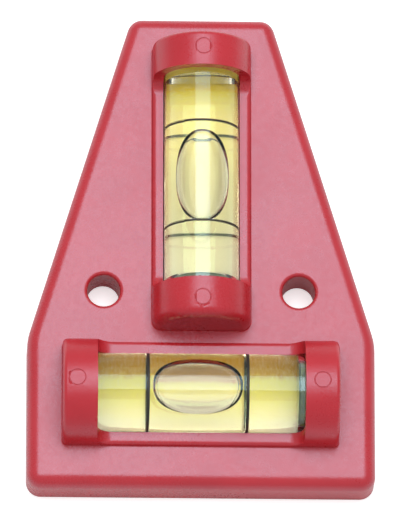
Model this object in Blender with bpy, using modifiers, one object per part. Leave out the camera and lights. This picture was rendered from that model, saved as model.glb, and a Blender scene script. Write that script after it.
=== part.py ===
"""Cross spirit level: one moulded housing that holds two acrylic vials at right angles.

The back of the housing lies on Z = 0 and its face looks along +Z. +Y runs to the narrow end,
along the longitudinal vial, and the cross vial lies along X near the wide end. Each vial is
built in a frame of its own: X runs along the vial to its plug, and Z = 0 is the back.
"""

import math
from dataclasses import dataclass

import bmesh
import bpy
from mathutils import Matrix, Vector

MM = 0.001

# Vials
long_radius = 7.5 * MM
cross_radius = 7.95 * MM
long_chamber = 42.2 * MM
cross_chamber = 40.4 * MM
vial_wall = 1.3 * MM
closed_end = 4.5 * MM
plug_length = 5.6 * MM
plug_rim = 2.6 * MM
plug_hollow_depth = 3.0 * MM
barrel_curvature = 229.0 * MM
vial_edge = 0.4 * MM

# Index rings, in grooves round the vials
long_ring_spacing = 21.1 * MM
cross_ring_spacing = 19.95 * MM
ring_width = 0.5 * MM
ring_depth = 0.25 * MM
ring_gap = 0.2 * MM

# Bubbles
long_bubble_length = 19.4 * MM
cross_bubble_length = 18.2 * MM
bubble_sag = 0.6 * MM
bubble_stop = 1.1 * MM

# Cradles that hold the vials from the back
cradle_floor = 1.1 * MM
cradle_recess = 0.5 * MM
cradle_side_height = 5.4 * MM
snap_radius = 0.7 * MM
snap_height = 1.6 * MM

# Arched housings round the vials
long_arch_wall = 2.2 * MM
cross_arch_wall = 2.55 * MM
housing_rise = 12.0 * MM
rail_rise = 1.2 * MM
scoop_round = 3.3 * MM
long_closed_block = 7.15 * MM
long_plug_block = 8.05 * MM
cross_block = 6.9 * MM
long_plug_round = 2.0 * MM
end_round = 0.9 * MM
foot_round = 0.3 * MM
foot_lap = 0.03 * MM
long_closed_wall = 2.85 * MM
long_plug_wall = 4.05 * MM
cross_closed_wall = 2.0 * MM
cross_plug_wall = 2.3 * MM

# Plate
base_margin = 8.4 * MM
housing_spacing = 2.65 * MM
narrow_margin = 6.55 * MM
narrow_side_margin = 4.25 * MM
side_margin = 7.3 * MM
cross_offset = -0.2 * MM
shoulder_past_cross = 1.2 * MM
plate_corner = 3.0 * MM
shoulder_round = 12.0 * MM
rim_round = 2.7 * MM
face_wall = 2.2 * MM
skirt_wall = 2.0 * MM
pocket_corner = 1.0 * MM
rib_thickness = 1.4 * MM
rib_recess = 1.0 * MM

# Screw bores
bore_diameter = 6.6 * MM
bore_rim_round = 0.8 * MM
boss_wall = 2.0 * MM
bore_from_housing = 9.7 * MM
bore_from_cross = 11.1 * MM

# Clearances
piece_gap = 0.3 * MM
seat_gap = 0.25 * MM
overrun = 2.0 * MM
weld = 0.001 * MM

# Shares of the sizes that they follow, and counts
bubble_width_share = 0.81
narrow_rib_share = 0.40
base_rib_share = 0.5
snap_share = 0.4
round_bevel_share = 0.5
concave_bevel_share = 0.0858
middle_share = 0.001
turn_steps = 32
lens_steps = 24
arch_steps = 24
bore_points = 8
corner_steps = 4
arc_step = math.radians(15)
soft_arc_step = math.radians(6)
flat_angle = math.radians(0.5)
smooth_angle = math.radians(30)

ALONG_X = Matrix(((0, 0, 1, 0), (1, 0, 0, 0), (0, 1, 0, 0), (0, 0, 0, 1)))
ALONG_Y = Matrix(((1, 0, 0, 0), (0, 0, -1, 0), (0, 1, 0, 0), (0, 0, 0, 1)))


@dataclass(frozen=True)
class Vial:
    """One vial and its housing. Lengths along the vial count from the middle of its chamber."""

    name: str
    radius: float
    chamber: float
    ring_spacing: float
    bubble_length: float
    closed_wall: float
    plug_wall: float
    arch_wall: float
    closed_block: float
    plug_block: float
    plug_round: float

    @property
    def bore(self):
        return self.radius - vial_wall

    @property
    def bay_half(self):
        return self.radius + seat_gap

    @property
    def arch(self):
        return self.bay_half + self.arch_wall

    @property
    def closed_reach(self):
        return self.chamber / 2 + closed_end

    @property
    def plug_reach(self):
        return self.chamber / 2 + plug_length

    @property
    def housing_start(self):
        return -self.closed_reach - piece_gap - self.closed_wall

    @property
    def housing_end(self):
        return self.plug_reach + piece_gap + self.plug_wall

    @property
    def housing_length(self):
        return self.housing_end - self.housing_start

    @property
    def least_crown(self):
        return cradle_recess + cradle_floor + piece_gap + self.radius + self.arch

    @property
    def axis_height(self):
        return crown_height - self.arch

    @property
    def bubble_half(self):
        return self.bore * bubble_width_share

    @property
    def bubble_level(self):
        return math.sqrt((self.bore - piece_gap) ** 2 - self.bubble_half**2)

    @property
    def pivot_height(self):
        return self.axis_height + self.bore - barrel_curvature

    @property
    def bubble_travel(self):
        return self.chamber / 2 - self.bubble_length / 2 - bubble_stop


long_vial = Vial(
    name="longitudinal",
    radius=long_radius,
    chamber=long_chamber,
    ring_spacing=long_ring_spacing,
    bubble_length=long_bubble_length,
    closed_wall=long_closed_wall,
    plug_wall=long_plug_wall,
    arch_wall=long_arch_wall,
    closed_block=long_closed_block,
    plug_block=long_plug_block,
    plug_round=long_plug_round,
)
cross_vial = Vial(
    name="cross",
    radius=cross_radius,
    chamber=cross_chamber,
    ring_spacing=cross_ring_spacing,
    bubble_length=cross_bubble_length,
    closed_wall=cross_closed_wall,
    plug_wall=cross_plug_wall,
    arch_wall=cross_arch_wall,
    closed_block=cross_block,
    plug_block=cross_block,
    plug_round=end_round,
)

# The crowns of both housings are level, and the plate lies a housing's rise below them
crown_height = max(long_vial.least_crown, cross_vial.least_crown)
plate_thickness = crown_height - housing_rise
rail_top = plate_thickness + rail_rise

# The plate's outline follows from what stands on it
plate_length = (
    base_margin + 2 * cross_vial.arch + housing_spacing + long_vial.housing_length + narrow_margin
)
plate_width = cross_vial.housing_length + 2 * side_margin
narrow_end_width = 2 * (long_vial.arch + narrow_side_margin)
base_y = -plate_length / 2
narrow_y = plate_length / 2
cross_y = base_y + base_margin + cross_vial.arch
cross_north_y = cross_y + cross_vial.arch
shoulder_y = cross_north_y + shoulder_past_cross
cross_x = cross_offset - (cross_vial.housing_start + cross_vial.housing_end) / 2
long_y = cross_north_y + housing_spacing + long_vial.housing_end
bore_x = long_vial.arch + bore_from_housing
bore_y = cross_north_y + bore_from_cross

# Colours, as red, green and blue, with alpha where a piece is clear
HOUSING_RED = (0.62, 0.035, 0.05, 1.0)
CLEAR_ACRYLIC = (0.93, 0.95, 0.92, 0.35)
PLUG_GREEN = (0.10, 0.13, 0.02, 1.0)
RING_BLACK = (0.01, 0.01, 0.01, 1.0)
LIQUID_YELLOW = (0.85, 0.78, 0.12, 0.7)
BUBBLE_PALE = (0.90, 0.93, 0.85, 0.5)
CRADLE_WHITE = (0.82, 0.81, 0.76, 1.0)


def clear_scene():
    for item in list(bpy.data.objects):
        bpy.data.objects.remove(item, do_unlink=True)


def new_collection(name):
    made = bpy.data.collections.new(name)
    bpy.context.scene.collection.children.link(made)
    return made


def material(name, colour, roughness, transmission=0.0):
    made = bpy.data.materials.new(name)
    made.use_nodes = True
    shader = made.node_tree.nodes["Principled BSDF"]
    shader.inputs["Base Color"].default_value = colour
    shader.inputs["Alpha"].default_value = colour[3]
    shader.inputs["Roughness"].default_value = roughness
    shader.inputs["Metallic"].default_value = 0.0
    shader.inputs["Transmission Weight"].default_value = transmission
    made.diffuse_color = colour
    return made


def place(name, mesh, parent=None, location=(0, 0, 0), rotation=(0, 0, 0)):
    """A new object in its parent's frame, in the collection of cutters until it is finished."""
    made = bpy.data.objects.new(name, mesh)
    made.parent = parent
    made.location = location
    made.rotation_euler = rotation
    cutters.objects.link(made)
    made.hide_render = True
    made.display_type = "WIRE"
    return made


def finish(piece, look):
    """Moves a piece out of the cutters and gives it its material and smooth shading."""
    cutters.objects.unlink(piece)
    parts.objects.link(piece)
    piece.hide_render = False
    piece.display_type = "TEXTURED"
    piece.data.materials.append(look)
    if piece.data.polygons:
        piece.data.shade_smooth()
        piece.data.set_sharp_from_angle(angle=smooth_angle)
    return piece


def combine(target, other, operation):
    boolean = target.modifiers.new(operation.lower(), "BOOLEAN")
    boolean.operation = operation
    boolean.solver = "EXACT"
    boolean.object = other


def cut(target, other):
    combine(target, other, "DIFFERENCE")


def arc(centre_u, centre_v, radius, start, end, steps):
    turns = [start + (end - start) * k / steps for k in range(steps + 1)]
    return [(centre_u + radius * math.cos(t), centre_v + radius * math.sin(t)) for t in turns]


def rounded_outline(corners, step=arc_step):
    """An outline from its corners (x, y, radius), anticlockwise, each one turned into an arc."""
    points = []
    for k, (x, y, radius) in enumerate(corners):
        corner = Vector((x, y))
        back = (Vector(corners[k - 1][:2]) - corner).normalized()
        ahead = (Vector(corners[(k + 1) % len(corners)][:2]) - corner).normalized()
        half = back.angle(ahead) / 2
        centre = corner + (back + ahead).normalized() * radius / math.sin(half)
        from_centre = corner + back * radius / math.tan(half) - centre
        first = math.atan2(from_centre.y, from_centre.x)
        turn = math.pi - 2 * half
        points += arc(centre.x, centre.y, radius, first, first + turn, max(1, round(turn / step)))
    return points


def housing_outline(vial, grown):
    """The plan of a housing, grown on every side, with a corner radius for each end."""
    start = vial.housing_start - grown
    end = vial.housing_end + grown
    half = vial.arch + grown
    closed = end_round + grown
    plugged = vial.plug_round + grown
    return rounded_outline([
        (start, -half, closed), (end, -half, plugged), (end, half, plugged), (start, half, closed),
    ])


def prism(points, low, high, turn=None):
    """A flat outline made solid from low to high, then turned from Z to another axis."""
    curve = bpy.data.curves.new("outline", "CURVE")
    curve.dimensions = "2D"
    curve.fill_mode = "BOTH"
    curve.extrude = (high - low) / 2
    spline = curve.splines.new("POLY")
    spline.points.add(len(points) - 1)
    for point, (x, y) in zip(spline.points, points, strict=True):
        point.co = (x, y, 0, 1)
    spline.use_cyclic_u = True
    guide = bpy.data.objects.new("outline", curve)
    cutters.objects.link(guide)
    bpy.context.view_layer.update()
    graph = bpy.context.evaluated_depsgraph_get()
    mesh = bpy.data.meshes.new_from_object(guide.evaluated_get(graph))
    bpy.data.objects.remove(guide)
    bpy.data.curves.remove(curve)
    form = bmesh.new()
    form.from_mesh(mesh)
    bmesh.ops.remove_doubles(form, verts=form.verts, dist=weld)
    bmesh.ops.dissolve_limit(form, angle_limit=flat_angle, verts=form.verts, edges=form.edges)
    bmesh.ops.translate(form, verts=form.verts, vec=(0, 0, (low + high) / 2))
    bmesh.ops.recalc_face_normals(form, faces=form.faces)
    form.to_mesh(mesh)
    form.free()
    if turn:
        mesh.transform(turn)
    return mesh


def round_edges(mesh, chosen, width, segments, profile=round_bevel_share):
    """Bevels the edges whose two end points both pass a test, and that join unlike faces."""
    form = bmesh.new()
    form.from_mesh(mesh)
    rim = [
        edge for edge in form.edges
        if all(chosen(vertex.co) for vertex in edge.verts) and edge.calc_face_angle() > smooth_angle
    ]
    bmesh.ops.bevel(
        form, geom=rim, offset=width, offset_type="OFFSET", segments=segments, profile=profile,
        affect="EDGES", clamp_overlap=True,
    )
    form.to_mesh(mesh)
    form.free()
    return mesh


def turned(name, profile, parent, location=(0, 0, 0), along_x=True):
    """A turned shape. Its profile of (radius, place along the axis) runs down the outside."""
    mesh = bpy.data.meshes.new(name)
    edges = [(k, k + 1) for k in range(len(profile) - 1)]
    if profile[0][0] and profile[-1][0]:
        edges.append((len(profile) - 1, 0))
    mesh.from_pydata([(radius, 0, along) for radius, along in profile], edges, [])
    rotation = (0, math.pi / 2, 0) if along_x else (0, 0, 0)
    made = place(name, mesh, parent, location, rotation)
    screw = made.modifiers.new("turn", "SCREW")
    screw.steps = turn_steps
    screw.render_steps = turn_steps
    screw.use_merge_vertices = True
    screw.merge_threshold = weld
    screw.use_smooth_shade = True
    return made


def plate_corners(inset, base_round, shoulder, narrow_round):
    """The plate's outline, moved in from its edge by an inset, anticlockwise from the base."""
    run = (plate_width - narrow_end_width) / 2
    rise = narrow_y - shoulder_y
    out_x = rise / math.hypot(run, rise)
    out_y = run / math.hypot(run, rise)
    half = plate_width / 2 - inset
    bend_y = shoulder_y + inset * (out_x - 1) / out_y
    narrow_half = narrow_end_width / 2 - inset * (1 - out_y) / out_x
    right = [
        (half, base_y + inset, base_round),
        (half, bend_y, shoulder),
        (narrow_half, narrow_y - inset, narrow_round),
    ]
    return right + [(-x, y, radius) for x, y, radius in reversed(right)]


def plate():
    corners = plate_corners(0, plate_corner, shoulder_round, plate_corner)
    mesh = prism(rounded_outline(corners, soft_arc_step), 0, plate_thickness)
    top = plate_thickness - weld
    round_edges(mesh, lambda at: at.z > top, rim_round, corner_steps)
    return place("housing", mesh)


def pockets():
    """The hollows of the back, round the vial bays, the screw bosses and the ribs."""
    floor = plate_thickness - face_wall
    inner = plate_corners(skirt_wall, pocket_corner, shoulder_round, pocket_corner)
    hollow = place("pockets", prism(rounded_outline(inner), -overrun, floor))
    deep = floor + overrun
    for vial, frame in frames.items():
        keep = prism(housing_outline(vial, 0), -2 * overrun, deep)
        cut(hollow, place(vial.name + "_bay_keep", keep, frame))
    for side, sign in (("left", -1), ("right", 1)):
        radius = bore_diameter / 2 + boss_wall
        profile = [(0, deep), (radius, deep), (radius, -2 * overrun), (0, -2 * overrun)]
        at = (sign * bore_x, bore_y, 0)
        cut(hollow, turned(side + "_boss_keep", profile, None, at, along_x=False))
    half_width = plate_width / 2
    half_rib = rib_thickness / 2
    narrow_rib_y = bore_y + narrow_rib_share * (narrow_y - bore_y)
    base_rib_x = base_rib_share * cross_vial.housing_length / 2
    ribs = [(-half_rib, half_rib, base_y, narrow_y)]
    for y in (cross_y, bore_y, narrow_rib_y):
        ribs.append((-half_width, half_width, y - half_rib, y + half_rib))
    for x in (-base_rib_x, base_rib_x):
        ribs.append((x - half_rib, x + half_rib, base_y, cross_y))
    for count, (west, east, south, north) in enumerate(ribs):
        outline = [(west, south), (east, south), (east, north), (west, north)]
        cut(hollow, place(f"rib_keep_{count}", prism(outline, rib_recess, deep)))
    return hollow


def screw_bore(side, sign):
    """A screw bore with its rounded upper rim."""
    radius = bore_diameter / 2
    top = plate_thickness
    rim = radius + bore_rim_round
    flare = arc(rim, top - bore_rim_round, bore_rim_round, math.pi / 2, math.pi, corner_steps)
    profile = [(0, top + overrun), (rim, top + overrun), *flare]
    profile += [(radius, -overrun), (0, -overrun)]
    return turned(side + "_bore", profile, None, (sign * bore_x, bore_y, 0), along_x=False)


def arch_outline(half, axis_height, low):
    """The section of a housing or of its bay: upright sides under a half round."""
    return [*arc(0, axis_height, half, 0, math.pi, arch_steps), (-half, low), (half, low)]


def housing_bar(vial, frame):
    """One arched housing, its outer ends rounded and its window scooped out between them."""
    outline = arch_outline(vial.arch, vial.axis_height, plate_thickness / 2)
    mesh = prism(outline, vial.housing_start, vial.housing_end, ALONG_X)
    first = vial.housing_start + weld
    last = vial.housing_end - weld
    round_edges(mesh, lambda at: at.x < first, end_round, corner_steps)
    round_edges(mesh, lambda at: at.x > last, vial.plug_round, corner_steps)
    bar = place(vial.name + "_bar", mesh, frame)
    start = vial.housing_start + vial.closed_block
    end = vial.housing_end - vial.plug_block
    sill = rail_top + scoop_round
    scoop = [(start, crown_height + overrun)]
    scoop += arc(start + scoop_round, sill, scoop_round, math.pi, 1.5 * math.pi, 2 * corner_steps)
    scoop += arc(end - scoop_round, sill, scoop_round, 1.5 * math.pi, 2 * math.pi, 2 * corner_steps)
    scoop += [(end, crown_height + overrun)]
    reach = vial.arch + overrun
    cut(bar, place(vial.name + "_scoop", prism(scoop, -reach, reach, ALONG_Y), frame))
    return bar


def housing_foot(vial, frame):
    """The concave round between a housing's sides and the face of the plate."""
    top = plate_thickness + foot_round
    mesh = prism(housing_outline(vial, foot_round), plate_thickness / 2, top)
    width = foot_round + foot_lap
    round_edges(mesh, lambda at: at.z > top - weld, width, corner_steps, concave_bevel_share)
    return place(vial.name + "_foot", mesh, frame)


def vial_bay(vial, frame):
    """The space for a vial and its cradle, open at the back."""
    outline = arch_outline(vial.bay_half, vial.axis_height, -overrun)
    start = -vial.closed_reach - piece_gap
    end = vial.plug_reach + piece_gap
    return place(vial.name + "_bay", prism(outline, start, end, ALONG_X), frame)


def snap_bar(vial, frame, name, side, grown):
    """The half-round bar on a cradle's side, or the groove for it, which is grown by a gap."""
    radius = snap_radius + grown
    middle = (vial.plug_reach - vial.closed_reach) / 2
    half = snap_share * (vial.plug_reach + vial.closed_reach) / 2 + grown
    side_y = side * (vial.bay_half - piece_gap)
    outline = arc(side_y, cradle_recess + snap_height, radius, 0, 2 * math.pi, 3 * corner_steps)[:-1]
    return place(name, prism(outline, middle - half, middle + half, ALONG_X), frame)


def housing(look):
    body = plate()
    bars = [housing_bar(vial, frame) for vial, frame in frames.items()]
    feet = [housing_foot(vial, frame) for vial, frame in frames.items()]
    for piece in feet + bars:
        combine(body, piece, "UNION")
    cut(body, pockets())
    for side, sign in (("left", -1), ("right", 1)):
        cut(body, screw_bore(side, sign))
    for vial, frame in frames.items():
        cut(body, vial_bay(vial, frame))
        for side, sign in (("left", -1), ("right", 1)):
            name = f"{vial.name}_{side}_snap_groove"
            cut(body, snap_bar(vial, frame, name, sign, piece_gap))
    return finish(body, look)


def bore_profile(vial, inset, start, end):
    """The barrel-shaped bore from start to end, moved in from its wall by an inset."""
    places = [start + (end - start) * k / (bore_points - 1) for k in range(bore_points)]
    return [(vial.bore - inset - at**2 / (2 * barrel_curvature), at) for at in places]


def barrel(vial, frame, look):
    """The clear vial: a barrel-shaped bore, closed at one end, with a mouth for the plug."""
    half = vial.chamber / 2
    radius = vial.radius
    groove = radius - ring_depth - ring_gap
    groove_half = ring_width / 2 + ring_gap
    mouth = vial.bore
    profile = [(0, -half)]
    profile += bore_profile(vial, 0, -half, half - piece_gap)
    profile += [(mouth, half - piece_gap), (mouth, vial.plug_reach)]
    profile += [(radius - vial_edge, vial.plug_reach), (radius, vial.plug_reach - vial_edge)]
    for place_along in (vial.ring_spacing / 2, -vial.ring_spacing / 2):
        above = place_along + groove_half
        below = place_along - groove_half
        profile += [(radius, above), (groove, above), (groove, below), (radius, below)]
    profile += [(radius, -vial.closed_reach + vial_edge), (radius - vial_edge, -vial.closed_reach)]
    profile += [(0, -vial.closed_reach)]
    made = turned(vial.name + "_vial", profile, frame, (0, 0, vial.axis_height))
    return finish(made, look)


def plug(vial, frame, look):
    """The plug in the vial's mouth, hollowed from its outer end."""
    radius = vial.bore - seat_gap
    inner = vial.chamber / 2
    outer = vial.plug_reach - piece_gap
    hollow = radius - plug_rim
    floor = outer - plug_hollow_depth
    profile = [(0, floor), (hollow, floor), (hollow, outer), (radius, outer)]
    profile += [(radius, inner + vial_edge), (radius - vial_edge, inner), (0, inner)]
    made = turned(vial.name + "_plug", profile, frame, (0, 0, vial.axis_height))
    return finish(made, look)


def index_ring(vial, frame, end, sign, look):
    """One black index ring, lying in its groove."""
    outer = vial.radius
    inner = outer - ring_depth
    above = sign * vial.ring_spacing / 2 + ring_width / 2
    below = above - ring_width
    profile = [(outer, above), (outer, below), (inner, below), (inner, above)]
    made = turned(f"{vial.name}_ring_{end}", profile, frame, (0, 0, vial.axis_height))
    return finish(made, look)


def lens(vial, grown, stretch):
    """The bubble's form, flat below and high above, grown by a gap and stretched along its way."""
    form = bmesh.new()
    bmesh.ops.create_uvsphere(form, u_segments=lens_steps, v_segments=lens_steps // 2, radius=1)
    half_length = vial.bubble_length / 2 + grown
    half_width = vial.bubble_half + grown
    level = vial.axis_height + vial.bubble_level
    arm = level - vial.pivot_height
    for vertex in form.verts:
        x, y, z = vertex.co
        along = x * half_length
        if abs(x) > middle_share:
            along += math.copysign(stretch, x)
        height = z * (vial.bore if z > 0 else bubble_sag + grown)
        vertex.co = (along, y * half_width, level + height - along**2 / (2 * arm))
    mesh = bpy.data.meshes.new(vial.name + "_lens")
    form.to_mesh(mesh)
    form.free()
    return mesh


def liquid(vial, frame, look):
    """The liquid, with a way open along its top for the bubble."""
    half = vial.chamber / 2 - 2 * piece_gap
    profile = [(0, -half), *bore_profile(vial, seat_gap, -half, half), (0, half)]
    profile.reverse()
    made = turned(vial.name + "_liquid", profile, frame, (0, 0, vial.axis_height))
    way = lens(vial, piece_gap, vial.bubble_travel)
    cut(made, place(vial.name + "_bubble_way", way, frame))
    return finish(made, look)


def bubble(vial, frame, look):
    """The bubble, carried by an empty at the centre of curvature of the vial's bore."""
    pivot = place(vial.name + "_bubble_pivot", None, frame, (0, 0, vial.pivot_height))
    made = place(vial.name + "_bubble", lens(vial, 0, 0), pivot, (0, 0, -vial.pivot_height))
    half = vial.chamber / 2
    profile = [(0, -half), *bore_profile(vial, piece_gap, -half, half), (0, half)]
    profile.reverse()
    limit = turned(vial.name + "_bubble_limit", profile, frame, (0, 0, vial.axis_height))
    combine(made, limit, "INTERSECT")
    return finish(made, look)


def cradle(vial, frame, look):
    """The cradle that closes a bay from the back, with a snap bar along each side."""
    half = vial.bay_half - piece_gap
    low = cradle_recess
    high = cradle_recess + cradle_side_height
    hollow = vial.radius + piece_gap
    spread = math.acos((vial.axis_height - high) / hollow)
    start = 1.5 * math.pi - spread
    outline = [(-half, low), (half, low), (half, high)]
    outline += reversed(arc(0, vial.axis_height, hollow, start, start + 2 * spread, arch_steps // 2))
    outline += [(-half, high)]
    made = place(
        vial.name + "_cradle",
        prism(outline, -vial.closed_reach, vial.plug_reach, ALONG_X),
        frame,
    )
    for side, sign in (("left", -1), ("right", 1)):
        combine(made, snap_bar(vial, frame, f"{vial.name}_{side}_snap", sign, 0), "UNION")
    return finish(made, look)


def vial_pieces(vial, frame):
    """Everything that lies in one housing's bay."""
    barrel(vial, frame, material(vial.name + "_acrylic", CLEAR_ACRYLIC, 0.05, 1.0))
    plug(vial, frame, material(vial.name + "_plug_green", PLUG_GREEN, 0.3))
    for end, sign in (("a", -1), ("b", 1)):
        look = material(f"{vial.name}_ring_black_{end}", RING_BLACK, 0.5)
        index_ring(vial, frame, end, sign, look)
    liquid(vial, frame, material(vial.name + "_liquid_yellow", LIQUID_YELLOW, 0.02, 0.9))
    bubble(vial, frame, material(vial.name + "_bubble_clear", BUBBLE_PALE, 0.02, 1.0))
    cradle(vial, frame, material(vial.name + "_cradle_white", CRADLE_WHITE, 0.5))


clear_scene()
parts = new_collection("cross_spirit_level")
cutters = new_collection("cutters")
frames = {
    long_vial: place("longitudinal_frame", None, None, (0, long_y, 0), (0, 0, -math.pi / 2)),
    cross_vial: place("cross_frame", None, None, (cross_x, cross_y, 0)),
}
housing(material("moulded_red", HOUSING_RED, 0.35))
for vial, frame in frames.items():
    vial_pieces(vial, frame)
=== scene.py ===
import math
from types import SimpleNamespace

import bmesh
import bpy
from mathutils import Matrix, Vector


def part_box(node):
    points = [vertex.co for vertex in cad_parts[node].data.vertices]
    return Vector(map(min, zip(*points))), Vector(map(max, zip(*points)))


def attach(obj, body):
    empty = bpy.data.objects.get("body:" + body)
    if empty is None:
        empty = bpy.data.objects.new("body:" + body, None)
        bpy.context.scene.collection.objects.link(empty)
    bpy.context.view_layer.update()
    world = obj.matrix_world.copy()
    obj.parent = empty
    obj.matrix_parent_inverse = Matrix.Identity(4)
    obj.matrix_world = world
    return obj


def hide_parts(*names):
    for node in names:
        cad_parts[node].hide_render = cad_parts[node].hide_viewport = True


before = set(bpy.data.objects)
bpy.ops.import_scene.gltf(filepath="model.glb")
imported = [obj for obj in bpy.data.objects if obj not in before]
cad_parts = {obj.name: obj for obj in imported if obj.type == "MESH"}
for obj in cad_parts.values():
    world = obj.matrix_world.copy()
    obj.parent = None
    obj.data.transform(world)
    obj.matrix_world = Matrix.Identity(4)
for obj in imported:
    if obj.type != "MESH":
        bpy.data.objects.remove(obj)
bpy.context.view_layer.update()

MM = 0.001

# Camera
pixels_per_metre = 4960.0
image_height = 523
sensor = 36.0
camera_distance = 2.0
camera_target = Vector((-0.25 * MM, -2.15 * MM, 8.1 * MM))
towards_camera = Vector((-0.033, -0.29, 0.956)).normalized()
image_up = Vector((-0.0100, 0.957, 0.2897)).normalized()

# Light
softbox_height = 1.6
softbox_middle = (0.05, 0.50)
softbox_size = (1.36, 1.40)
softbox_power = 24.0
SOFTBOX = (0.94, 0.97, 1.0)
world_level = 0.56
world_backdrop = 1.0
world_through_glass = 1.6

# Floor
floor_reach = 3.0
floor_drop = 0.05 * MM
floor_glow = 0.5
floor_roughness = 0.9
floor_specular = 0.1
FLOOR = (0.9, 0.9, 0.9)

# Meshes
turn_steps = 128
turned_weld = 0.001 * MM
copied_weld = 0.002 * MM
flat_angle = math.radians(0.3)
sharp_angle = math.radians(30)
edge_round = 0.12 * MM
edge_segments = 2
round_profile = 0.5
normals_weight = 100

# Vials
vial_wall = 1.3 * MM
vial_edge = 0.4 * MM
chamber_end_gap = 0.6 * MM
barrel_curvature = 229.0 * MM
bore_points = 24
bore_margin = 0.01 * MM
wall_film = 0.01 * MM
groove_depth = 0.3 * MM
groove_side = 0.1 * MM

# Index rings
ring_depth = 0.22 * MM
ring_shift = 0.12 * MM
ring_round = 0.06 * MM

# Plugs
plug_gap = 0.02 * MM
plug_recess = 0.3 * MM
plug_edge = 0.2 * MM
plug_rim = 2.6 * MM
plug_hollow = 3.0 * MM

# Bubbles
bubble_film = 0.12 * MM
bubble_rim = 1.0 * MM
bubble_depth = 1.2 * MM
bubble_sweep = 0.75 * MM
bubble_power = 2.3
bubble_width_share = 0.96
bubble_steps = 96
bubble_rings = 16
rim_steps = 12

# Housing
mark_radius = 1.62 * MM
mark_groove = 0.26 * MM
mark_depth = 0.14 * MM
mark_steps = 64
cutter_clearance = 1.0 * MM
rail_top = 9.8 * MM
rail_round = 0.88 * MM
rail_round_end = 0.1 * MM
rail_steps = 8
rail_nudge = 0.004 * MM
scoop_round = 3.3 * MM
scoop_reach_share = 0.85
scoop_steps = 8

# What sets the vials apart. The crown is the radius of the end blocks about the vial. The window
# is measured along the vial's own X, and the marks lie at places in the part's X and Y.
LONG_VIAL = {
    "name": "longitudinal",
    "body": "long_bubble",
    "ring_width": 0.36 * MM,
    "ring_seam": math.radians(-30),
    "bubble_shift": 0.5 * MM,
    "crown": 9.95 * MM,
    "window": (-21.35 * MM, 23.0 * MM),
    "marks": ((0.1 * MM, 39.6 * MM), (-0.1 * MM, -13.2 * MM)),
}
CROSS_VIAL = {
    "name": "cross",
    "body": "short_bubble",
    "ring_width": 0.55 * MM,
    "ring_seam": math.radians(120),
    "bubble_shift": 0,
    "crown": 10.75 * MM,
    "window": (-20.1 * MM, 21.5 * MM),
    "marks": ((-25.1 * MM, -30.2 * MM), (23.9 * MM, -30.3 * MM)),
}

# Colours
WHITE = (1, 1, 1)
RED = (0.50, 0.018, 0.026)
RED_DEEP = (0.46, 0.015, 0.022)
# A cool tint on the red's reflections: a painted reflection colour that stands in for a bluish lamp
RED_PAINTED_COOL_SHEEN = (0.60, 0.84, 1.0)
BLACK = (0.012, 0.011, 0.010)
BLACK_DUSTY = (0.03, 0.028, 0.026)
PLUG_GREEN = (0.10, 0.12, 0.02)
PLUG_DEEP = (0.07, 0.09, 0.015)
CREAM = (0.97, 0.95, 0.90)
CREAM_DEEP = (0.90, 0.86, 0.78)
# A cool tint on the acrylic's reflections: a painted reflection colour that stands in for a bluish
# lamp
ACRYLIC_PAINTED_COOL_SHEEN = (0.55, 0.86, 1.0)
LIQUID_SHADE = (0.995, 0.965, 0.60)

# Painted shade and painted light on the cradles' inner faces, each colour at its share of the way
# north: grey and grey-violet at the south, yellows for light through the liquid, and oranges and
# browns for the shade under the north walls and the reddish light they reflect
LONG_PAINTED_SHADE_STOPS = (
    (0.0, (0.78, 0.77, 0.76)), (0.5, (0.95, 0.91, 0.62)), (0.85, (0.92, 0.82, 0.40)),
    (0.94, (0.99, 0.93, 0.33)), (0.985, (0.99, 0.86, 0.13)), (1.0, (0.98, 0.76, 0.06)),
)
CROSS_PAINTED_SHADE_STOPS = (
    (0.0, (0.72, 0.71, 0.90)), (0.35, (0.79, 0.77, 0.88)), (0.46, (0.95, 0.88, 0.70)),
    (0.60, (0.99, 0.96, 0.32)), (0.67, (0.99, 0.93, 0.14)), (0.72, (0.68, 0.38, 0.04)),
    (1.0, (0.66, 0.34, 0.03)),
)
# How far the painted shade reaches along Y, and where it ends north of the cross vial's axis
long_painted_shade_reach = 34 * MM
cross_painted_shade_reach = 14 * MM
cross_painted_shade_north = 8 * MM

# Spans that a smooth step runs between
whole = (0.0, 1.0)
noise_span = (0.3, 0.7)

# Red plastic. A noise is given here and below by its size, its detail and how rough that is.
red_roughness = 0.27
red_specular = 0.88
red_crown_specular = 0.68
red_sheen_low = 9.9 * MM
red_sheen_high = 12.5 * MM
red_blotches = (9 * MM, 3.0, 0.6)
red_mottle = (0.9 * MM, 4.0, 0.7)
red_mottle_rough = (0.22, 0.31)
red_drift = (20 * MM, 1.0, 0.5)
red_drift_span = (0.35, 0.65)
red_drift_rough = (0.0, 0.06)
rub_streaks = (1.1 * MM, 4.0, 0.7)
rub_stretch = (1.0, 0.12, 1.0)
rub_span = (0.55, 0.75)
rub_patches = (14 * MM, 2.0, 0.5)
rub_patch_span = (0.5, 0.62)
rub_rough = (0.0, 0.08)
red_grain = (0.34 * MM, 3.0, 0.65)
red_grain_depth = 0.03 * MM
red_ripple = (2.6 * MM, 2.0, 0.5)
red_ripple_depth = 0.02 * MM
gate_place = (-13 * MM, -18.4 * MM, 8.6 * MM)
gate_near = 0.5 * MM
gate_reach = 4.5 * MM
flow_marks = (0.75 * MM, 2.0, 0.5)
flow_stretch = (1.0, 0.45, 1.0)
flow_depth = 0.08 * MM

# Clear pieces. Each refractive index is relative to what lies round the piece.
acrylic_index = 1.49
liquid_index = 0.92
bubble_index = 0.735
liquid_density = 80.0
acrylic_smudge = 0.03
glass_smears = (5 * MM, 4.0, 0.6)
glass_smear_span = (0.52, 0.75)
glass_ripple = (3.5 * MM, 1.0, 0.4)
glass_ripple_depth = 0.004 * MM

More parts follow.
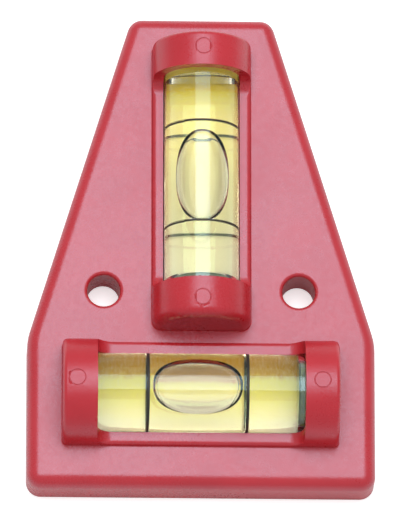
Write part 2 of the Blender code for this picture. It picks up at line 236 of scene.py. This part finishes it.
# Rings
ring_roughness = 0.5
ring_dust = (0.25 * MM, 3.0, 0.7)
ring_dust_span = (0.45, 0.8)
ring_dust_rough = (0.42, 0.6)
ring_grain = (0.15 * MM, 2.0, 0.6)
ring_grain_depth = 0.01 * MM

# Plug material
plug_roughness = 0.35
plug_clouds = (2.2 * MM, 3.0, 0.6)
plug_cloud_rough = (0.28, 0.42)
plug_grain = (0.3 * MM, 3.0, 0.6)
plug_grain_depth = 0.015 * MM

# Cradle material
cradle_roughness = 0.5
# The drift blurs the edges of the painted shade along Y
cradle_drift = (1.4 * MM, 2.0, 0.5)
cradle_drift_span = (0.2, 0.8)
cradle_drift_reach = (-0.15 * MM, 0.15 * MM)
cradle_flecks = (0.4 * MM, 3.0, 0.6)
cradle_fleck_span = (0.35, 0.75)
cradle_fleck_strength = (0.0, 0.25)
cradle_mottle = (0.6 * MM, 3.0, 0.6)
cradle_mottle_rough = (0.42, 0.6)
cradle_grain = (0.22 * MM, 3.0, 0.6)
cradle_grain_depth = 0.012 * MM
bed_outside = 0.9 * MM
bed_inside = 1.3 * MM


def camera():
    """A long lens that looks down at the part, a little from its wide end."""
    data = bpy.data.cameras.new("camera")
    data.sensor_width = sensor
    data.lens = sensor * camera_distance * pixels_per_metre / image_height
    made = bpy.data.objects.new("camera", data)
    bpy.context.scene.collection.objects.link(made)
    back = towards_camera
    up = (image_up - back * image_up.dot(back)).normalized()
    side = up.cross(back)
    turn = Matrix((side, up, back)).transposed().to_4x4()
    made.matrix_world = Matrix.Translation(camera_target + back * camera_distance) @ turn
    bpy.context.scene.camera = made


def lights():
    """One large softbox, and a world that is brighter for the camera and through glass."""
    data = bpy.data.lights.new("softbox", "AREA")
    data.shape = "RECTANGLE"
    data.size, data.size_y = softbox_size
    data.energy = softbox_power
    data.color = SOFTBOX
    made = bpy.data.objects.new("softbox", data)
    made.location = (*softbox_middle, softbox_height)
    bpy.context.scene.collection.objects.link(made)

    world = bpy.data.worlds.new("studio")
    world.use_nodes = True
    tree = world.node_tree
    background = tree.nodes["Background"]
    background.inputs["Color"].default_value = (*WHITE, 1)
    path = tree.nodes.new("ShaderNodeLightPath")
    level = None
    for ray, strength in (
        ("Is Camera Ray", world_backdrop), ("Is Transmission Ray", world_through_glass),
    ):
        step = tree.nodes.new("ShaderNodeMath")
        step.operation = "MULTIPLY_ADD"
        step.inputs[1].default_value = strength - world_level
        step.inputs[2].default_value = world_level
        tree.links.new(path.outputs[ray], step.inputs[0])
        if level:
            tree.links.new(level, step.inputs[2])
        level = step.outputs[0]
    tree.links.new(level, background.inputs["Strength"])
    bpy.context.scene.world = world


def floor():
    """A pale floor that looks white to the camera and keeps the part's shadow."""
    form = bmesh.new()
    bmesh.ops.create_grid(form, x_segments=1, y_segments=1, size=floor_reach)
    mesh = bpy.data.meshes.new("floor")
    form.to_mesh(mesh)
    form.free()
    made = bpy.data.objects.new("floor", mesh)
    made.location.z = -floor_drop
    bpy.context.scene.collection.objects.link(made)
    look = bpy.data.materials.new("floor_white")
    look.use_nodes = True
    tree = look.node_tree
    shader = tree.nodes["Principled BSDF"]
    shader.inputs["Base Color"].default_value = (*FLOOR, 1)
    shader.inputs["Roughness"].default_value = floor_roughness
    shader.inputs["Specular IOR Level"].default_value = floor_specular
    shader.inputs["Emission Color"].default_value = (*WHITE, 1)
    path = tree.nodes.new("ShaderNodeLightPath")
    level = tree.nodes.new("ShaderNodeMath")
    level.operation = "MULTIPLY"
    level.inputs[1].default_value = floor_glow
    tree.links.new(path.outputs["Is Camera Ray"], level.inputs[0])
    tree.links.new(level.outputs[0], shader.inputs["Emission Strength"])
    made.data.materials.append(look)


def vial_facts(name, **own):
    """The places and sizes of one vial. X of its own frame runs along the vial to the plug."""
    vial_low, vial_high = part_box(name + "_vial")
    liquid_low, liquid_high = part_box(name + "_liquid")
    bubble_low, bubble_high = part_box(name + "_bubble")
    along = 1 if name == "longitudinal" else 0
    across = 1 - along
    centre = (vial_low + vial_high) / 2
    centre[along] = (liquid_low[along] + liquid_high[along]) / 2
    turn = Matrix.Rotation(-math.pi / 2 * along, 4, "Z")
    way = -1 if along else 1
    ends = [way * (edge[along] - centre[along]) for edge in (vial_low, vial_high)]
    rings = []
    for end in ("a", "b"):
        low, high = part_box(f"{name}_ring_{end}")
        rings.append(way * ((low[along] + high[along]) / 2 - centre[along]))
    return SimpleNamespace(
        name=name,
        matrix=Matrix.Translation(centre) @ turn,
        radius=(vial_high.z - vial_low.z) / 2,
        bore=(vial_high.z - vial_low.z) / 2 - vial_wall,
        chamber_half=(liquid_high[along] - liquid_low[along]) / 2 + chamber_end_gap,
        closed_reach=-min(ends),
        plug_reach=max(ends),
        rings=rings,
        bubble_half_length=(bubble_high[along] - bubble_low[along]) / 2,
        bubble_half_width=(bubble_high[across] - bubble_low[across]) / 2 * bubble_width_share,
        **own,
    )


def new_piece(name, form, matrix, looks, body, slot, *nodes):
    """A finished piece: its mesh in the row frame, its materials, and the nodes it stands for."""
    bmesh.ops.recalc_face_normals(form, faces=form.faces)
    mesh = bpy.data.meshes.new(name)
    form.to_mesh(mesh)
    form.free()
    mesh.transform(matrix)
    mesh.shade_smooth()
    mesh.set_sharp_from_angle(angle=sharp_angle)
    for look in looks:
        mesh.materials.append(look)
    made = bpy.data.objects.new(name, mesh)
    bpy.context.scene.collection.objects.link(made)
    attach(made, body)
    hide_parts(*nodes)
    return made


def turned(profile):
    """A form turned about X from a profile of (radius, place along X) whose ends lie on X."""
    form = bmesh.new()
    points = [form.verts.new((along, 0, radius)) for radius, along in profile]
    edges = [form.edges.new(pair) for pair in zip(points, points[1:])]
    bmesh.ops.spin(
        form, geom=points + edges, cent=(0, 0, 0), axis=(1, 0, 0), angle=2 * math.pi,
        steps=turn_steps, use_merge=True,
    )
    bmesh.ops.remove_doubles(form, verts=form.verts, dist=turned_weld)
    return form


def skin(form, rows):
    """Faces between neighbouring rows of points, where each row is a closed loop."""
    for near, far in zip(rows, rows[1:]):
        for k in range(len(near)):
            after = (k + 1) % len(near)
            form.faces.new((near[k], near[after], far[after], far[k]))


def closed_skin(form, rows):
    """A skin over the rows, with a face at either end."""
    skin(form, rows)
    form.faces.new(rows[0])
    form.faces.new(rows[-1])


def bore_profile(vial, inset, end_inset):
    """The barrel-shaped bore, from the closed end to the mouth, drawn in by the insets."""
    half = vial.chamber_half - end_inset
    places = [half * (2 * k / bore_points - 1) for k in range(bore_points + 1)]
    return [(vial.bore - inset - x**2 / (2 * barrel_curvature), x) for x in places]


def barrel(vial, looks):
    """The acrylic barrel, whose bore has the second material."""
    half = vial.chamber_half
    radius = vial.radius
    mouth = vial.bore
    groove = radius - groove_depth
    groove_half = vial.ring_width / 2 + groove_side
    profile = [(0, -half), *bore_profile(vial, 0, 0), (mouth, half), (mouth, vial.plug_reach)]
    profile += [(radius - vial_edge, vial.plug_reach), (radius, vial.plug_reach - vial_edge)]
    for place in sorted(vial.rings, reverse=True):
        profile += [(radius, place + groove_half), (groove, place + groove_half)]
        profile += [(groove, place - groove_half), (radius, place - groove_half)]
    profile += [(radius, vial_edge - vial.closed_reach), (radius - vial_edge, -vial.closed_reach)]
    profile += [(0, -vial.closed_reach)]
    form = turned(profile)
    for face in form.faces:
        middle = face.calc_center_median()
        within = abs(middle.x) < half + bore_margin
        if within and math.hypot(middle.y, middle.z) < vial.bore + bore_margin:
            face.material_index = 1
    name = vial.name + "_barrel"
    return new_piece(name, form, vial.matrix, looks, "level", "clear_acrylic", vial.name + "_vial")


def liquid(vial, look):
    """The liquid, which fills the bore but for a film at its wall."""
    half = vial.chamber_half - wall_film
    profile = [(0, -half), *bore_profile(vial, wall_film, wall_film), (0, half)]
    form = turned(profile)
    name = vial.name + "_fluid"
    return new_piece(name, form, vial.matrix, [look], "level", "liquid_yellow", vial.name + "_liquid")


def signed_power(value, power):
    """The power of a value's size, with the value's sign."""
    return math.copysign(abs(value) ** power, value)


def bubble(vial, look):
    """The bubble: its top follows the bore, its floor is nearly level and its rim is round."""
    form = bmesh.new()
    half_length = vial.bubble_half_length
    half_width = vial.bubble_half_width
    shift = vial.bubble_shift
    floor_z = math.sqrt(vial.bore**2 - half_width**2) - bubble_depth

    def top(x, y):
        radius = vial.bore - bubble_film - x**2 / (2 * barrel_curvature)
        return math.sqrt(max(radius**2 - y**2, 0))

    def bottom(x, share):
        return floor_z - x**2 / (2 * barrel_curvature) + bubble_sweep * share**4

    outline = []
    for k in range(bubble_steps):
        t = 2 * math.pi * k / bubble_steps
        x = half_length * signed_power(math.cos(t), 2 / bubble_power)
        y = half_width * signed_power(math.sin(t), 2 / bubble_power)
        slope_x = signed_power(x / half_length, bubble_power - 1) / half_length
        slope_y = signed_power(y / half_width, bubble_power - 1) / half_width
        outline.append((Vector((x, y)), Vector((slope_x, slope_y)).normalized()))

    def ring(share, turn):
        """One ring of points, where turn goes from -90 degrees below to 90 degrees above."""
        inset = bubble_rim * (1 - math.cos(turn))
        made = []
        for point, normal in outline:
            at = (point - normal * inset) * share + Vector((shift, 0))
            high = top(at.x, at.y)
            low = bottom(at.x, share)
            z = (high + low) / 2 + (high - low) / 2 * math.sin(turn)
            made.append(form.verts.new((at.x, at.y, z)))
        return made

    quarter = math.pi / 2
    rings = [ring(k / bubble_rings, -quarter) for k in range(1, bubble_rings + 1)]
    rings += [ring(1, quarter * (2 * k / rim_steps - 1)) for k in range(1, rim_steps)]
    rings += [ring(k / bubble_rings, quarter) for k in range(bubble_rings, 0, -1)]
    skin(form, rings)
    for pole_ring, z in ((rings[0], bottom(shift, 0)), (rings[-1], top(shift, 0))):
        pole = form.verts.new((shift, 0, z))
        for k in range(bubble_steps):
            form.faces.new((pole_ring[k], pole_ring[(k + 1) % bubble_steps], pole))
    name = vial.name + "_air"
    node = vial.name + "_bubble"
    return new_piece(name, form, vial.matrix, [look], vial.body, "bubble_clear", node)


def index_ring(vial, end, place, look):
    """A thin split ring, whose two ends meet a little out of line."""
    form = bmesh.new()
    outer = vial.radius
    inner = outer - ring_depth
    half = vial.ring_width / 2
    section = [
        (outer - ring_round, -half), (outer, ring_round - half), (outer, half - ring_round),
        (outer - ring_round, half), (inner, half), (inner, -half),
    ]
    rows = []
    for k in range(turn_steps + 1):
        turn = vial.ring_seam + 2 * math.pi * k / turn_steps
        shift = ring_shift * (k / turn_steps - 0.5)
        rows.append([
            form.verts.new((place + shift + along, radius * math.sin(turn), radius * math.cos(turn)))
            for radius, along in section
        ])
    closed_skin(form, rows)
    name = f"{vial.name}_index_{end}"
    node = f"{vial.name}_ring_{end}"
    return new_piece(name, form, vial.matrix, [look], "level", "ring_black", node)


def stopper(vial, look):
    """The plug in the vial's mouth, with a hollow in its outer face."""
    low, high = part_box(vial.name + "_plug")
    radius = (high.z - low.z) / 2
    inner = vial.chamber_half + plug_gap
    outer = vial.plug_reach - plug_recess
    hollow = radius - plug_rim
    bottom = outer - plug_hollow
    profile = [(0, inner), (radius - vial_edge, inner), (radius, inner + vial_edge)]
    profile += [(radius, outer - plug_edge), (radius - plug_edge, outer), (hollow, outer)]
    profile += [(hollow, bottom), (0, bottom)]
    form = turned(profile)
    name = vial.name + "_stopper"
    return new_piece(name, form, vial.matrix, [look], "level", "plug_green", vial.name + "_plug")


def copied(node):
    """A clean copy of a node's mesh: its points welded and its flat faces whole."""
    form = bmesh.new()
    form.from_mesh(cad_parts[node].data)
    bmesh.ops.remove_doubles(form, verts=form.verts, dist=copied_weld)
    bmesh.ops.dissolve_limit(form, angle_limit=flat_angle, verts=form.verts, edges=form.edges)
    return form


def softened(form):
    """Rounds every sharp edge a little."""
    sharp = [
        edge for edge in form.edges
        if edge.is_manifold and edge.calc_face_angle() > sharp_angle
    ]
    bmesh.ops.bevel(
        form, geom=sharp, offset=edge_round, offset_type="OFFSET", segments=edge_segments,
        profile=round_profile, affect="EDGES", clamp_overlap=True,
    )


def even_shading(piece):
    """Large flat faces keep their own direction beside the rounds that border them."""
    weighted = piece.modifiers.new("normals", "WEIGHTED_NORMAL")
    weighted.mode = "FACE_AREA"
    weighted.weight = normals_weight
    weighted.keep_sharp = True


def mark_cutter(form, vial, place):
    """Adds a thin upright ring whose foot follows the crown, just below its surface."""
    along = 1 if vial.name == "longitudinal" else 0
    middle = vial.matrix.translation
    rows = []
    for k in range(mark_steps):
        turn = 2 * math.pi * k / mark_steps
        row = []
        for radius in (mark_radius - mark_groove / 2, mark_radius + mark_groove / 2):
            x = place[0] + radius * math.cos(turn)
            y = place[1] + radius * math.sin(turn)
            aside = x - middle.x if along else y - middle.y
            foot = middle.z + math.sqrt(vial.crown**2 - aside**2) - mark_depth
            head = foot + cutter_clearance
            row += [form.verts.new((x, y, foot)), form.verts.new((x, y, head))]
        rows.append((row[0], row[1], row[3], row[2]))
    skin(form, rows + rows[:1])


def rail_cutter(form, vial, side):
    """Adds a bar that rounds the outer edge of one rail and runs out up the scoops."""
    axis = vial.matrix.translation.z
    start, end = vial.window
    reach = scoop_reach_share * scoop_round
    runs = [reach * k / scoop_steps for k in range(scoop_steps, 0, -1)]
    stations = [(start + scoop_round - run, run) for run in runs]
    stations += [(start + scoop_round, 0), (end - scoop_round, 0)]
    stations += [(end - scoop_round + run, run) for run in reversed(runs)]
    rows = []
    for x, run in stations:
        high = rail_top + scoop_round - math.sqrt(scoop_round**2 - run**2) - axis
        aside = math.sqrt(vial.crown**2 - max(high, 0) ** 2)
        radius = rail_round + (rail_round_end - rail_round) * (run / reach)
        section = []
        for k in range(rail_steps + 1):
            turn = math.pi / 2 * (1 - k / rail_steps)
            across = aside - radius + radius * math.cos(turn) - rail_nudge
            section.append((across, high - radius + radius * math.sin(turn) - rail_nudge))
        clear = aside + cutter_clearance
        section += [(clear, section[-1][1]), (clear, high + cutter_clearance)]
        section.append((section[0][0], high + cutter_clearance))
        rows.append([form.verts.new(vial.matrix @ Vector((x, side * y, z))) for y, z in section])
    closed_skin(form, rows)


def carve(piece, form):
    """Takes the form away from the piece."""
    bmesh.ops.recalc_face_normals(form, faces=form.faces)
    mesh = bpy.data.meshes.new("cutter")
    form.to_mesh(mesh)
    form.free()
    mesh.shade_smooth()
    cutter = bpy.data.objects.new("cutter", mesh)
    bpy.context.scene.collection.objects.link(cutter)
    cut = piece.modifiers.new("cut", "BOOLEAN")
    cut.operation = "DIFFERENCE"
    cut.solver = "EXACT"
    cut.object = cutter
    graph = bpy.context.evaluated_depsgraph_get()
    carved = bpy.data.meshes.new_from_object(piece.evaluated_get(graph))
    piece.modifiers.remove(cut)
    piece.data = carved
    bpy.data.objects.remove(cutter)


def sharpen_rails(mesh):
    """Keeps the shading of the flat rails apart from the steep faces that border them."""
    form = bmesh.new()
    form.from_mesh(mesh)
    for edge in form.edges:
        height = (edge.verts[0].co.z + edge.verts[1].co.z) / 2
        low = height < rail_top + edge_round
        if low and edge.is_manifold and edge.calc_face_angle() > sharp_angle:
            edge.smooth = False
    form.to_mesh(mesh)
    form.free()


def shell(vials, look):
    """The moulded housing, with the round marks on its crowns and the rounds on its rails."""
    form = copied("housing")
    softened(form)
    made = new_piece("shell", form, Matrix(), [look], "level", "moulded_red", "housing")
    cutter = bmesh.new()
    for vial in vials:
        for place in vial.marks:
            mark_cutter(cutter, vial, place)
        for side in (-1, 1):
            rail_cutter(cutter, vial, side)
    carve(made, cutter)
    sharpen_rails(made.data)
    even_shading(made)
    return made


def bed(vial, look):
    """The cradle behind a vial."""
    form = copied(vial.name + "_cradle")
    softened(form)
    name = vial.name + "_bed"
    node = vial.name + "_cradle"
    made = new_piece(name, form, Matrix(), [look], "level", "cradle_white", node)
    even_shading(made)
    return made


class Look:
    """A material under construction, with short ways to add and join its nodes.

    Its flat colour and roughness serve where no node takes their place.
    """

    def __init__(self, name, colour, roughness):
        self.material = bpy.data.materials.new(name)
        self.material.use_nodes = True
        self.tree = self.material.node_tree
        self.shader = self.tree.nodes["Principled BSDF"]
        self.out = self.tree.nodes["Material Output"]
        self.shader.inputs["Base Color"].default_value = (*colour, 1)
        self.shader.inputs["Roughness"].default_value = roughness
        self.place = self.node("ShaderNodeTexCoord").outputs["Object"]
        self.normal = None

    def node(self, kind, **settings):
        made = self.tree.nodes.new(kind)
        for key, value in settings.items():
            setattr(made, key, value)
        return made

    def join(self, output, socket):
        self.tree.links.new(output, socket)

    def coordinate(self, axis):
        """The place on the object along one axis."""
        apart = self.node("ShaderNodeSeparateXYZ")
        self.join(self.place, apart.inputs["Vector"])
        return apart.outputs[axis]

    def stretched(self, stretch):
        """The place on the object, scaled along each axis."""
        made = self.node("ShaderNodeMapping")
        made.inputs["Scale"].default_value = stretch
        self.join(self.place, made.inputs["Vector"])
        return made.outputs["Vector"]

    def noise(self, pattern, place=None):
        """Noise whose features are about one size across."""
        size, detail, roughness = pattern
        made = self.node("ShaderNodeTexNoise")
        made.inputs["Scale"].default_value = 1 / size
        made.inputs["Detail"].default_value = detail
        made.inputs["Roughness"].default_value = roughness
        self.join(place or self.place, made.inputs["Vector"])
        return made.outputs["Fac"]

    def ranged(self, value, span, result=whole, kind="SMOOTHSTEP"):
        """A value that runs through the result while the given value runs through the span."""
        made = self.node("ShaderNodeMapRange", interpolation_type=kind)
        for key, number in zip(("From Min", "From Max", "To Min", "To Max"), (*span, *result)):
            made.inputs[key].default_value = number
        self.join(value, made.inputs["Value"])
        return made.outputs["Result"]

    def computed(self, operation, first, second):
        made = self.node("ShaderNodeMath", operation=operation)
        self.join(first, made.inputs[0])
        self.join(second, made.inputs[1])
        return made.outputs["Value"]

    def blended(self, share, first, second):
        """Two colours, mixed by a share."""
        made = self.node("ShaderNodeMix", data_type="RGBA")
        self.join(share, made.inputs["Factor"])
        for socket, colour in ((made.inputs[6], first), (made.inputs[7], second)):
            if isinstance(colour, tuple):
                socket.default_value = (*colour, 1)
            else:
                self.join(colour, socket)
        return made.outputs[2]

    def ramp(self, value, stops):
        """A colour for each value from 0 to 1."""
        made = self.node("ShaderNodeValToRGB")
        marks = made.color_ramp.elements
        while len(marks) < len(stops):
            marks.new(1.0)
        for mark, (position, colour) in zip(marks, stops):
            mark.position = position
            mark.color = (*colour, 1)
        self.join(value, made.inputs["Fac"])
        return made.outputs["Color"]

    def bump(self, height, depth):
        """Relief on top of the relief that is there already."""
        made = self.node("ShaderNodeBump")
        made.inputs["Strength"].default_value = 1.0
        made.inputs["Distance"].default_value = depth
        self.join(height, made.inputs["Height"])
        if self.normal:
            self.join(self.normal, made.inputs["Normal"])
        self.normal = made.outputs["Normal"]
        self.join(self.normal, self.shader.inputs["Normal"])

    def colour(self, output):
        self.join(output, self.shader.inputs["Base Color"])

    def roughness(self, output):
        self.join(output, self.shader.inputs["Roughness"])


def moulded_red():
    """Satin moulded plastic: fine grain, blotches, rubbed patches and flow marks by a gate."""
    look = Look("moulded_red", RED, red_roughness)
    sheen = look.ranged(
        look.coordinate("Z"), (red_sheen_low, red_sheen_high), (red_specular, red_crown_specular),
    )
    look.join(sheen, look.shader.inputs["Specular IOR Level"])
    # Painted cool colour on the reflections, standing in for a bluish lamp
    look.shader.inputs["Specular Tint"].default_value = (*RED_PAINTED_COOL_SHEEN, 1)
    look.colour(look.blended(look.ranged(look.noise(red_blotches), noise_span), RED_DEEP, RED))

    streaks = look.noise(rub_streaks, look.stretched(rub_stretch))
    patches = look.ranged(look.noise(rub_patches), rub_patch_span)
    rubbed = look.computed("MULTIPLY", look.ranged(streaks, rub_span), patches)
    mottle = look.ranged(look.noise(red_mottle), noise_span, red_mottle_rough)
    drift = look.ranged(look.noise(red_drift), red_drift_span, red_drift_rough)
    rough = look.computed("ADD", mottle, look.ranged(rubbed, whole, rub_rough))
    look.roughness(look.computed("ADD", rough, drift))

    look.bump(look.noise(red_grain), red_grain_depth)
    look.bump(look.noise(red_ripple), red_ripple_depth)
    distance = look.node("ShaderNodeVectorMath", operation="DISTANCE")
    look.join(look.place, distance.inputs[0])
    distance.inputs[1].default_value = gate_place
    close = look.ranged(distance.outputs["Value"], (gate_near, gate_reach), (1.0, 0.0))
    flow = look.noise(flow_marks, look.stretched(flow_stretch))
    look.bump(look.computed("MULTIPLY", flow, close), flow_depth)
    return look.material


def glass(name, index, smudge=0.0, sheen=WHITE):
    """A clear material with faint ripples, and smears where it has a smudge roughness."""
    look = Look(name, WHITE, 0.0)
    look.shader.inputs["Transmission Weight"].default_value = 1.0
    look.shader.inputs["IOR"].default_value = index
    # A tint on the reflections; the acrylic's cool tint is a painted reflection colour standing in
    # for a bluish lamp
    look.shader.inputs["Specular Tint"].default_value = (*sheen, 1)
    if smudge:
        look.roughness(look.ranged(look.noise(glass_smears), glass_smear_span, (0.0, smudge)))
    look.bump(look.noise(glass_ripple), glass_ripple_depth)
    return look


def unseen(name):
    """A material for the bore, where the surface of the liquid is seen instead."""
    made = bpy.data.materials.new(name)
    made.use_nodes = True
    tree = made.node_tree
    tree.nodes.remove(tree.nodes["Principled BSDF"])
    shader = tree.nodes.new("ShaderNodeBsdfTransparent")
    tree.links.new(shader.outputs[0], tree.nodes["Material Output"].inputs["Surface"])
    return made


def yellow_liquid():
    """A clear liquid that takes up some of the blue light."""
    look = glass("liquid_yellow", liquid_index)
    volume = look.node("ShaderNodeVolumeAbsorption")
    volume.inputs["Color"].default_value = (*LIQUID_SHADE, 1)
    volume.inputs["Density"].default_value = liquid_density
    look.join(volume.outputs[0], look.out.inputs["Volume"])
    return look.material


def ring_black():
    """Soft black plastic with a fine, dusty surface."""
    look = Look("ring_black", BLACK, ring_roughness)
    dust = look.noise(ring_dust)
    look.colour(look.blended(look.ranged(dust, ring_dust_span), BLACK, BLACK_DUSTY))
    look.roughness(look.ranged(dust, noise_span, ring_dust_rough))
    look.bump(look.noise(ring_grain), ring_grain_depth)
    return look.material


def plug_green():
    """Moulded green plastic, a little cloudy and finely grained."""
    look = Look("plug_green", PLUG_GREEN, plug_roughness)
    clouds = look.noise(plug_clouds)
    look.colour(look.blended(look.ranged(clouds, noise_span), PLUG_DEEP, PLUG_GREEN))
    look.roughness(look.ranged(clouds, noise_span, plug_cloud_rough))
    look.bump(look.noise(plug_grain), plug_grain_depth)
    return look.material


def cradle_cream_painted_shade(name, north, reach, stops):
    """Cream plastic, whose inner face carries painted shade and painted reflected light from the
    stops, over a reach that ends at north.
    """
    look = Look(name, CREAM, cradle_roughness)
    drift = look.ranged(look.noise(cradle_drift), cradle_drift_span, cradle_drift_reach)
    place = look.computed("ADD", look.coordinate("Y"), drift)
    # Painted shade and painted reflected light along Y, on the inner face only
    shade = look.ramp(look.ranged(place, (north - reach, north), kind="LINEAR"), stops)
    inside = look.ranged(look.coordinate("Z"), (bed_outside, bed_inside))
    fleck = look.ranged(look.noise(cradle_flecks), cradle_fleck_span, cradle_fleck_strength)
    look.colour(look.blended(fleck, look.blended(inside, CREAM, shade), CREAM_DEEP))
    look.roughness(look.ranged(look.noise(cradle_mottle), noise_span, cradle_mottle_rough))
    look.bump(look.noise(cradle_grain), cradle_grain_depth)
    return look.material


bpy.context.scene.view_settings.view_transform = "Standard"
camera()
lights()
floor()
vials = [vial_facts(**LONG_VIAL), vial_facts(**CROSS_VIAL)]

shell(vials, moulded_red())
acrylic = glass("clear_acrylic", acrylic_index, acrylic_smudge, ACRYLIC_PAINTED_COOL_SHEEN).material
bore_look = unseen("wetted_bore")
fluid_look = yellow_liquid()
air_look = glass("bubble_clear", bubble_index).material
ring_look = ring_black()
plug_look = plug_green()
# Cradles of cream plastic with painted shade and painted reflected light on their inner faces
_, long_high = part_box("longitudinal_liquid")
long_bed = cradle_cream_painted_shade("long_cradle_cream", long_high.y, long_painted_shade_reach, LONG_PAINTED_SHADE_STOPS)
cross_north = vials[1].matrix.translation.y + cross_painted_shade_north
cross_bed = cradle_cream_painted_shade("cross_cradle_cream", cross_north, cross_painted_shade_reach, CROSS_PAINTED_SHADE_STOPS)
for vial, bed_look in zip(vials, (long_bed, cross_bed)):
    barrel(vial, [acrylic, bore_look])
    liquid(vial, fluid_look)
    bubble(vial, air_look)
    for end, place in zip("ab", vial.rings):
        index_ring(vial, end, place, ring_look)
    stopper(vial, plug_look)
    bed(vial, bed_look)
